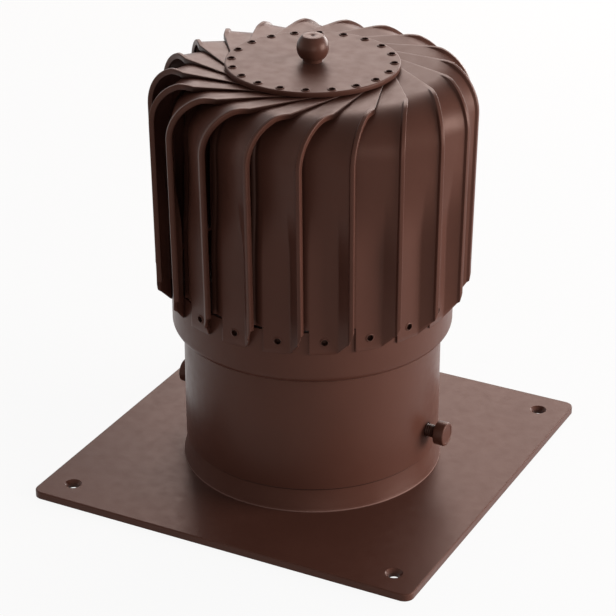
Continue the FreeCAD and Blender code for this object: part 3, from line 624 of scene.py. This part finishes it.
def shoulder_keys(turned):
    top = top_keys(BLADE_BEND, LIP_RETURN)
    low = upright_keys(BLADE_LEAN, 0.0)
    left_share = min(1.0, turned / math.radians(30.0))
    right_share = math.sin(turned)
    step_share = min(1.0, turned / math.radians(20.0))
    edge = mix(top[6][0], low[6][0], right_share)
    keys = []
    for index, ((across, _), (low_across, low_up)) in enumerate(zip(top[:7], low[:7])):
        spot = mix(across, low_across, left_share if index < 3 else right_share)
        flat_up = BLADE_DROP - (edge - spot) * LAP_SLOPE
        early_step = (step_share - right_share) * LIP_STEP if index > 4 else 0.0
        keys.append((spot, mix(flat_up, low_up, right_share) + early_step))
    return keys + [(edge, keys[6][1] - LIP_RETURN)]


def section_at(path):
    """All points across the blade's outer side at one path position, in the blade's own frame."""
    if path <= BLADE_BEND:
        lip_return = mix(BLADE_SHEET * 1.1, LIP_RETURN, smooth(path / BLADE_BEND * 3.0 - 2.0))
        section = eased(top_keys(path, lip_return), KEY_CUTS)
        return [strip_point(across, path, BEND_LEVEL + up) for across, up in section]
    if path <= BLADE_BEND + ARC_LENGTH:
        turned = (path - BLADE_BEND) / ARC_LENGTH * math.pi / 2
        return [strip_point(across, BLADE_BEND + up * math.sin(turned), BEND_LEVEL + up * math.cos(turned))
                for across, up in eased(shoulder_keys(turned), KEY_CUTS)]
    height = BEND_LEVEL - (path - BLADE_BEND - ARC_LENGTH)
    lean = BLADE_LEAN * max(height - LIP_BOTTOM, 0.0) / (BEND_LEVEL - LIP_BOTTOM)
    flatness = smooth((TWIST_TOP - height) / (TWIST_TOP - TWIST_END))
    return [strip_point(across, BLADE_BEND + up, height)
            for across, up in eased(upright_keys(lean, flatness), KEY_CUTS)]


def strip_point(across, along, height):
    turn = BLADE_SKEW
    return Vector((along * math.cos(turn) + across * math.sin(turn),
                   across * math.cos(turn) - along * math.sin(turn), height)) * MM


def path_of_height(height):
    return BLADE_BEND + ARC_LENGTH + BEND_LEVEL - height


def blade_start(across):
    """Where the strip starts under the disc, at this distance across."""
    return max(20.5, math.sqrt(max(BLADE_INNER ** 2 - across ** 2, 0.0)))


def blade_foot(across):
    """Lower end of the tab and, past the fold, the bowed cut that rises to the lip's lower end."""
    start = FOLD - BLADE_SHEET
    run = EDGE_LOW + BLADE_SHEET - start
    rise = LIP_BOTTOM - TAB_BOTTOM
    chord = math.hypot(run, rise)
    radius = (chord * chord / 4 + FOOT_BOW * FOOT_BOW) / (2 * FOOT_BOW)
    back = (radius - FOOT_BOW) / chord
    centre = (start + run / 2 - rise * back, TAB_BOTTOM + rise / 2 + run * back)
    if across <= start:
        return TAB_BOTTOM
    return centre[1] - math.sqrt(max(radius ** 2 - (across - centre[0]) ** 2, 0.0))


def blade_rows():
    """Rows of points down the blade: under the disc, over the shoulder, down and to the foot."""
    columns = len(section_at(BLADE_BEND))
    top_across = [point.y / MM for point in section_at(BLADE_BEND * 0.66)]
    low = eased(upright_keys(0.0, 1.0), KEY_CUTS)
    starts = []
    for column in range(columns):
        path = BLADE_BEND * 0.6
        for _ in range(4):
            point = section_at(path)[column] / MM
            across = point.y * math.cos(BLADE_SKEW) + point.x * math.sin(BLADE_SKEW)
            path = blade_start(across)
        starts.append(path)
    rows = []
    for share in spaced(0.0, 1.0, TOP_ROWS + 1)[:-1]:
        rows.append([section_at(mix(start, BLADE_BEND, share))[column] for column, start in enumerate(starts)])
    arc_rows = spaced(BLADE_BEND, BLADE_BEND + ARC_LENGTH, 24)
    drop_rows = [path_of_height(height) for height in spaced(BEND_LEVEL, TWIST_TOP, 4)[1:]]
    twist_rows = [path_of_height(height) for height in spaced(TWIST_TOP, LIP_BOTTOM + 2.0, 14)[1:]]
    rows += [section_at(path) for path in arc_rows + drop_rows + twist_rows]
    top = LIP_BOTTOM + 2.0
    feet = [blade_foot(across) for across, _ in low]
    margins = [max(INNER_BOTTOM, (foot + top) / 2) for foot in feet]
    margin_row = len(rows) + 1
    for share in (0.5, 1.0):
        rows.append([section_at(path_of_height(mix(top, margin, share)))[column]
                     for column, margin in enumerate(margins)])
    for share in spaced(0.0, 1.0, 6)[1:]:
        rows.append([section_at(path_of_height(mix(margin, foot, share)))[column]
                     for column, (margin, foot) in enumerate(zip(margins, feet))])
    return rows, margin_row


def blade_mesh():
    """The blade's outer side as one sheet; the margin beside the tab ends above it."""
    rows, margin_row = blade_rows()
    tab_column = 1 + (CUT_STEPS + 1) + CUT_STEPS // 2 + 1
    bm = bmesh.new()
    shade = bm.verts.layers.float.new(LAP_SHADE)
    grid = [[bm.verts.new(point) for point in row] for row in rows]
    # Painted shade along the right edges of the tops and, further down, in the gap under each neighbour's lip.
    for number, row in enumerate(grid[:TOP_ROWS + SHADE_ROWS]):
        along = min(1.0, (TOP_ROWS + SHADE_ROWS - number) / SHADE_ROWS)
        for step, vert in enumerate(row[-CUT_STEPS - 1:]):
            vert[shade] = along * min(1.0, (step + 1) / CUT_STEPS)
    for number, row in enumerate(grid[TOP_ROWS:margin_row]):
        for vert in row[:CUT_STEPS + 2]:
            vert[shade] = GAP_SHADE * min(1.0, number / GAP_ROWS)
    for number, (row, below) in enumerate(zip(grid, grid[1:])):
        first = tab_column if number >= margin_row else 0
        for column in range(first, len(row) - 1):
            bm.faces.new((row[column], below[column], below[column + 1], row[column + 1]))
    loose = [vert for vert in bm.verts if not vert.link_faces]
    bmesh.ops.delete(bm, geom=loose, context="VERTS")
    mesh = bpy.data.meshes.new("blade")
    bm.to_mesh(mesh)
    bm.free()
    return mesh


def lying_at(reach, level):
    """Lays a piece turned about Z along +X, its origin at this distance from the axis and height."""
    return Matrix.Translation((reach * MM, 0.0, level * MM)) @ Matrix.Rotation(math.pi / 2, 4, "Y")


def rivet_drill(place, copies=1, first_turn=0.0):
    """A drill for one rivet hole, or for a ring of them round the axis."""
    length = BLADE_DROP / 2
    outline = [(0.0, -length), (RIVET_SHANK, -length), (RIVET_SHANK, length), (0.0, length)]
    mesh = turned_mesh("rivet_drill", outline, 24)
    mesh.transform(place)
    return repeat_round(add_object("rivet_drill_blank", mesh), "rivet_drill", copies, first_turn, None)


def cut_with(blank, drill):
    """Adds the cut of a drill to a piece; the drill is removed once the piece is evaluated."""
    cut = blank.modifiers.new("holes", "BOOLEAN")
    cut.operation = "DIFFERENCE"
    cut.solver = "EXACT"
    cut.object = drill


def make_blades():
    blade = add_object("blade_pattern", blade_mesh(), blade_coat, 60.0)
    sheet = blade.modifiers.new("sheet", "SOLIDIFY")
    sheet.thickness = BLADE_SHEET * MM
    sheet.offset = -1.0
    sheet.use_even_offset = True
    rim = blade.modifiers.new("rim", "BEVEL")
    rim.width = 0.22 * MM
    rim.segments = 1
    rim.limit_method = "ANGLE"
    rim.angle_limit = math.radians(60.0)
    drill = rivet_drill(lying_at(RING_RADIUS, RIVET_LEVEL))
    cut_with(blade, drill)
    blades = repeat_round(blade, "blades", BLADE_COUNT, BLADE_PHASE, blade_coat, 50.0)
    bpy.data.objects.remove(drill)
    names = [f"blade_{number:02d}" for number in range(1, BLADE_COUNT + 1)]
    stands_for(blades, "rotor", "blade_coat", *names)


def rivet_profile(grip, tail):
    """Outline of a hollow rivet from the pit in its head to its closed end."""
    rise = RIVET_RISE
    floor = rise - RIVET_DEPTH
    head = arc(RIVET_HOLLOW + 0.25, rise - 0.25, 0.25, 180.0, 90.0, 3)
    brow = [(RIVET_HEAD - 0.35, rise * 0.7), (RIVET_HEAD - 0.1, rise * 0.35), (RIVET_HEAD, 0.0)]
    end = [(RIVET_HEAD - 0.5, -grip), (RIVET_HEAD - 0.5, -grip - tail * 0.6),
           (RIVET_HEAD - 1.0, -grip - tail), (0.0, -grip - tail)]
    return ([(0.0, floor), (RIVET_HOLLOW - 0.15, floor), (RIVET_HOLLOW, floor + 0.2)]
            + head + brow + [(RIVET_SHANK, 0.0), (RIVET_SHANK, -grip)] + end)


def make_rivets():
    low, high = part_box("disc_rivets")
    tail = 1.2
    grip = (high[2] - low[2]) / MM - RIVET_RISE - tail
    upright = turned_mesh("disc_rivet", rivet_profile(grip, tail), 24)
    upright.transform(Matrix.Translation((RIVET_CIRCLE * MM, 0.0, DISC_TOP * MM)))
    rivets = repeat_round(add_object("disc_rivet", upright), "disc_rivet_heads", BLADE_COUNT, RIVET_TURN,
                          disc_rivet_coat)
    stands_for(rivets, "rotor", "rivet_coat", "disc_rivets")

    outside = RING_RADIUS + BLADE_SHEET
    lying = turned_mesh("ring_rivet", rivet_profile(BLADE_SHEET + SHEET, tail), 24)
    lying.transform(lying_at(outside, RIVET_LEVEL))
    rivets = repeat_round(add_object("ring_rivet", lying), "ring_rivet_heads", BLADE_COUNT, BLADE_PHASE,
                          ring_rivet_coat)
    stands_for(rivets, "rotor", "rivet_coat", "ring_rivets")


def make_disc():
    hole = 5.05
    flat = RIVET_CIRCLE + RIVET_SHANK + 0.3
    profile = ([(hole, DISC_LEVEL), (flat, DISC_LEVEL)]
               + arc(DISC_RADIUS - 0.3, DISC_LEVEL + 0.3, 0.3, -90.0, 0.0, 3)
               + arc(DISC_RADIUS - DISC_EDGE, DISC_TOP - DISC_EDGE, DISC_EDGE, 0.0, 90.0, 5)
               + [(flat, DISC_TOP), (hole, DISC_TOP)])
    place = Matrix.Translation((RIVET_CIRCLE * MM, 0.0, DISC_TOP * MM))
    disc = drilled("top_plate", turned_mesh("top_plate", profile, 240), disc_coat,
                   rivet_drill(place, BLADE_COUNT, RIVET_TURN))
    stands_for(disc, "rotor", "disc_coat", "top_disc")


def make_knob():
    bore = 5.05
    rise = math.degrees(math.asin((KNOB_NECK_TOP - KNOB_CENTRE) / KNOB_RADIUS))
    facet = math.degrees(math.asin((KNOB_FACET - KNOB_CENTRE) / KNOB_RADIUS))
    profile = ([(bore, DISC_TOP), (KNOB_NECK + 0.25, DISC_TOP), (KNOB_NECK, DISC_TOP + 0.3),
                (KNOB_NECK, KNOB_NECK_TOP)]
               + arc(0.0, KNOB_CENTRE, KNOB_RADIUS, rise, facet - 1.5, 28)
               + [(KNOB_RADIUS * math.cos(math.radians(facet)) - 0.35, KNOB_FACET),
                  (KNOB_MARK, KNOB_FACET), (KNOB_MARK - 0.25, KNOB_FACET - 0.15), (0.0, KNOB_FACET - 0.8)])
    closed = profile + [(0.0, DISC_TOP + 9.5), (bore, DISC_TOP + 9.5)]
    mesh = turned_mesh("knob", closed[:-2][::-1] + [(bore, DISC_TOP + 9.5), (0.0, DISC_TOP + 9.5)], 96)
    knob = add_object("ball_handle", mesh, knob_coat)
    stands_for(knob, "rotor", "knob_coat", "ball_knob")


def make_ring():
    turn = RING_TURN
    flat = RING_RADIUS - turn
    outer = arc(flat, RING_BOTTOM + turn, turn, -90.0, 0.0, 10)
    inner = arc(flat, RING_BOTTOM + turn, turn - SHEET, 0.0, -90.0, 10)
    rim = [(RING_RADIUS, RING_TOP - 0.15), (RING_RADIUS - 0.15, RING_TOP),
           (RING_RADIUS - SHEET + 0.15, RING_TOP), (RING_RADIUS - SHEET, RING_TOP - 0.15)]
    lip = [(RING_LIP + 0.2, RING_BOTTOM + SHEET), (RING_LIP, RING_BOTTOM + SHEET - 0.2),
           (RING_LIP, RING_BOTTOM + 0.2), (RING_LIP + 0.2, RING_BOTTOM)]
    ring = drilled("lower_ring", turned_mesh("lower_ring", outer + rim + inner + lip, 240), ring_coat,
                   rivet_drill(lying_at(RING_RADIUS, RIVET_LEVEL), BLADE_COUNT, BLADE_PHASE))
    stands_for(ring, "rotor", "ring_coat", "drum_ring")


def make_neck():
    rim = 0.2
    profile = [(SLEEVE_BORE, SLEEVE_BOTTOM + rim), (SLEEVE_BORE + rim, SLEEVE_BOTTOM),
               (SLEEVE_RADIUS - rim, SLEEVE_BOTTOM), (SLEEVE_RADIUS, SLEEVE_BOTTOM + rim),
               (SLEEVE_RADIUS, SLEEVE_TOP - rim), (SLEEVE_RADIUS - rim, SLEEVE_TOP),
               (SLEEVE_BORE + rim, SLEEVE_TOP), (SLEEVE_BORE, SLEEVE_TOP - rim)]
    neck = drilled("neck_tube", turned_mesh("neck_tube", profile, 240), neck_coat, screw_drill())
    stands_for(neck, "base", "neck_coat", "neck_sleeve")

    width = FOOT_RADIUS - COLLAR_RADIUS
    height = FLARE_TOP - PLATE_THICK - FOOT_EDGE
    flare = (height ** 2 + width ** 2) / (2 * width)
    swing = math.degrees(math.asin(height / flare))
    inside = FLUE_BORE / 2
    profile = ([(inside, PLATE_THICK), (FOOT_RADIUS, PLATE_THICK), (FOOT_RADIUS, PLATE_THICK + FOOT_EDGE * 0.7),
                (FOOT_RADIUS - 0.1, PLATE_THICK + FOOT_EDGE * 0.95)]
               + arc(COLLAR_RADIUS + flare, FLARE_TOP, flare, 180.0 + swing, 180.0, 14)[1:]
               + [(COLLAR_RADIUS, COLLAR_TOP - 0.2), (COLLAR_RADIUS - 0.2, COLLAR_TOP),
                  (inside + 0.2, COLLAR_TOP), (inside, COLLAR_TOP - 0.2)])
    collar = drilled("flared_collar", turned_mesh("flared_collar", profile, 240), collar_coat, screw_drill())
    stands_for(collar, "base", "neck_coat", "base_collar")


def screw_drill():
    """A drill for the clearance holes of both thumb screws, right across the neck."""
    outline = [(0.0, -RING_RADIUS), (SCREW_HOLE, -RING_RADIUS), (SCREW_HOLE, RING_RADIUS), (0.0, RING_RADIUS)]
    mesh = turned_mesh("screw_drill", outline, 48)
    mesh.transform(lying_at(0.0, SCREW_LEVEL))
    return add_object("screw_drill", mesh)


def drilled(name, mesh, material, drill):
    blank = add_object(name + "_blank", mesh)
    cut_with(blank, drill)
    made = evaluated(blank, name, material)
    bpy.data.objects.remove(drill)
    return made


def lay_along(mesh, sign):
    """Lays a piece turned about Z along the thumb screws' line, on one side of the neck."""
    mesh.transform(Matrix.Translation((0.0, 0.0, SCREW_LEVEL * MM)) @ Matrix.Rotation(sign * math.pi / 2, 4, "Y"))


def make_thumb_screw(side, sign):
    length = HEAD_LENGTH
    bore = SCREW_RADIUS + 0.05
    profile = ([(bore, HEAD_START)]
               + arc(HEAD_RADIUS - 0.6, HEAD_START + 0.6, 0.6, -90.0, 0.0, 4)
               + arc(HEAD_RADIUS - 0.8, HEAD_START + length - 0.8, 0.8, 0.0, 90.0, 5)
               + [(HEAD_RADIUS - 1.6, HEAD_START + length), (HEAD_RADIUS - 1.9, HEAD_START + length - 0.25),
                  (0.0, HEAD_START + length - 0.25)])
    mesh = turned_mesh(f"{side}_thumb_head", profile[::-1] + [(bore, HEAD_START + HEAD_SOCKET), (0.0, HEAD_START + HEAD_SOCKET)],
                       72)
    lay_along(mesh, sign)
    head = add_object(f"{side}_thumb_head", mesh, screw_coat)
    stands_for(head, f"{side}_head", "head_coat", f"{side}_screw_head")

    low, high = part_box(f"{side}_screw_stud")
    inner = min(abs(low[0]), abs(high[0])) / MM
    outer = max(abs(low[0]), abs(high[0])) / MM
    mesh = threaded_mesh(f"{side}_thread", inner, outer)
    lay_along(mesh, sign)
    stud = add_object(f"{side}_thread", mesh, stud_coat)
    stands_for(stud, f"{side}_stud", "stud_steel", f"{side}_screw_stud")


def threaded_mesh(name, low, high):
    """A stud with its thread as one helical ridge, flat at both ends."""
    sides = 32
    per_turn = 4
    depth = 0.55
    rows = int((high - low) / THREAD_PITCH) * per_turn
    bm = bmesh.new()
    grid = []
    for row in range(rows + 1):
        ring = []
        for side in range(sides):
            height = mix(low, high, row / rows)
            phase = (height / THREAD_PITCH - side / sides) % 1.0
            ridge = abs(phase * 2.0 - 1.0)
            near_end = min(row, rows - row) < per_turn
            radius = SCREW_RADIUS - (depth if near_end else depth * ridge)
            turn = math.tau * side / sides
            ring.append(bm.verts.new((radius * MM * math.cos(turn), radius * MM * math.sin(turn), height * MM)))
        grid.append(ring)
    for ring, follower in zip(grid, grid[1:]):
        join_rings(bm, ring, follower, sides)
    bm.faces.new(grid[0])
    bm.faces.new(grid[-1])
    return mesh_from(bm, name)


# Nodes that stay as they are in the CAD.
CAD_FINISHES = {
    "base_plate": plate_coat,
    "hub_plate": hub_coat,
    "hub_spacer": hub_coat,
    "lower_bridge": bridge_steel,
    "upper_bridge": bridge_steel,
    "bearing_housing": housing_steel,
    "axle": axle_steel,
    "axle_snap_ring": axle_steel,
    "left_weld_nut": nut_steel,
    "right_weld_nut": nut_steel,
}


def dress_nodes():
    finishes = dict(CAD_FINISHES)
    for level in ("lower", "upper"):
        for part in ("outer_race", "inner_race", "balls"):
            finishes[f"{level}_bearing_{part}"] = bearing_steel
    for name, material in finishes.items():
        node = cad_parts[name]
        if not node.material_slots:
            node.data.materials.append(material)
        for slot in node.material_slots:
            slot.material = material


AXIS_MIDDLE = Vector((0.0, 0.0, 0.125))
CAMERA_PLACE = Vector((574.43, -1117.65, 727.73)) * MM
CAMERA_LOOK = Vector((-0.41062, 0.79474, -0.44696))
CAMERA_LENS = 136.33
CAMERA_TURN = math.atan2(CAMERA_PLACE.y, CAMERA_PLACE.x)
ROOM_LIGHT = 0.12
FLOOR_PALE = 0.92
FLOOR_COLOUR = (0.8, 0.8, 0.8, 1.0)

# Name, degrees to the right of the camera, elevation, size in metres, power and colour.
LAMP_DISTANCE = 1.6
PLAIN = (1.0, 0.95, 0.92)
WARM = (1.0, 0.78, 0.7)
LAMPS = (
    ("key", 78.0, 10.0, (1.0, 0.7), 33.0, PLAIN),
    ("back", 174.0, 33.0, (0.9, 1.2), 11.5, WARM),
    ("rear", 140.0, 8.0, (1.2, 0.6), 15.0, PLAIN),
    ("front", 12.0, 10.0, (0.9, 0.7), 4.0, PLAIN),
    ("left", -95.0, 14.0, (0.9, 0.9), 2.0, WARM),
)


def make_camera():
    camera = bpy.data.objects.new("camera", bpy.data.cameras.new("camera"))
    bpy.context.scene.collection.objects.link(camera)
    camera.location = CAMERA_PLACE
    camera.rotation_euler = CAMERA_LOOK.to_track_quat("-Z", "Y").to_euler()
    camera.data.lens = CAMERA_LENS
    camera.data.sensor_width = 36.0
    bpy.context.scene.camera = camera


def softbox(name, right_of_camera, elevation, size, power, colour):
    """An area lamp that faces the cowl from a direction given from the camera's side."""
    turn = CAMERA_TURN + math.radians(right_of_camera)
    rise = math.radians(elevation)
    away = Vector((math.cos(turn) * math.cos(rise), math.sin(turn) * math.cos(rise), math.sin(rise)))
    lamp = bpy.data.lights.new(name, "AREA")
    lamp.shape = "RECTANGLE"
    lamp.size, lamp.size_y = size
    lamp.energy = power
    lamp.color = colour
    made = bpy.data.objects.new(name, lamp)
    bpy.context.scene.collection.objects.link(made)
    made.location = AXIS_MIDDLE + away * LAMP_DISTANCE
    made.rotation_euler = (-away).to_track_quat("-Z", "Y").to_euler()


def seen_or_mirrored(tree):
    """1 for rays from the camera, off a gloss or through glass, 0 for light that falls on the cowl."""
    path = tree.nodes.new("ShaderNodeLightPath")
    share = path.outputs["Is Camera Ray"]
    for kind in ("Is Glossy Ray", "Is Transmission Ray"):
        either = add_node(tree, "ShaderNodeMath", operation="MAXIMUM")
        tree.links.new(share, either.inputs[0])
        tree.links.new(path.outputs[kind], either.inputs[1])
        share = either.outputs[0]
    return share


def make_world():
    world = bpy.data.worlds.new("studio")
    world.use_nodes = True
    bpy.context.scene.world = world
    tree = world.node_tree
    tree.nodes.clear()
    room = tree.nodes.new("ShaderNodeBackground")
    room.inputs["Color"].default_value = (1.0, 0.97, 0.94, 1.0)
    room.inputs["Strength"].default_value = ROOM_LIGHT
    white = tree.nodes.new("ShaderNodeBackground")
    white.inputs["Color"].default_value = (1.0, 1.0, 1.0, 1.0)
    white.inputs["Strength"].default_value = 1.0
    choose = tree.nodes.new("ShaderNodeMixShader")
    tree.links.new(seen_or_mirrored(tree), choose.inputs[0])
    tree.links.new(room.outputs[0], choose.inputs[1])
    tree.links.new(white.outputs[0], choose.inputs[2])
    tree.links.new(choose.outputs[0], tree.nodes.new("ShaderNodeOutputWorld").inputs[0])


def make_floor():
    side = 6.0
    bm = bmesh.new()
    bmesh.ops.create_grid(bm, x_segments=1, y_segments=1, size=side / 2)
    mesh = mesh_from(bm, "floor")
    floor = bpy.data.objects.new("floor", mesh)
    bpy.context.scene.collection.objects.link(floor)
    floor.location.z = -0.0002
    material = bpy.data.materials.new("pale_floor")
    material.use_nodes = True
    tree = material.node_tree
    tree.nodes.clear()
    lit = tree.nodes.new("ShaderNodeBsdfDiffuse")
    lit.inputs["Color"].default_value = FLOOR_COLOUR
    white = tree.nodes.new("ShaderNodeEmission")
    white.inputs["Strength"].default_value = 1.0
    share = add_node(tree, "ShaderNodeMath", operation="MULTIPLY")
    share.inputs[1].default_value = FLOOR_PALE
    tree.links.new(seen_or_mirrored(tree), share.inputs[0])
    choose = tree.nodes.new("ShaderNodeMixShader")
    tree.links.new(share.outputs[0], choose.inputs[0])
    tree.links.new(lit.outputs[0], choose.inputs[1])
    tree.links.new(white.outputs[0], choose.inputs[2])
    tree.links.new(choose.outputs[0], tree.nodes.new("ShaderNodeOutputMaterial").inputs[0])
    mesh.materials.append(material)


def make_studio():
    bpy.context.scene.view_settings.view_transform = "Standard"
    make_camera()
    make_world()
    make_floor()
    for lamp in LAMPS:
        softbox(*lamp)


make_blades()
make_rivets()
make_disc()
make_knob()
make_ring()
make_neck()
make_thumb_screw("right", 1)
make_thumb_screw("left", -1)
dress_nodes()
make_studio()
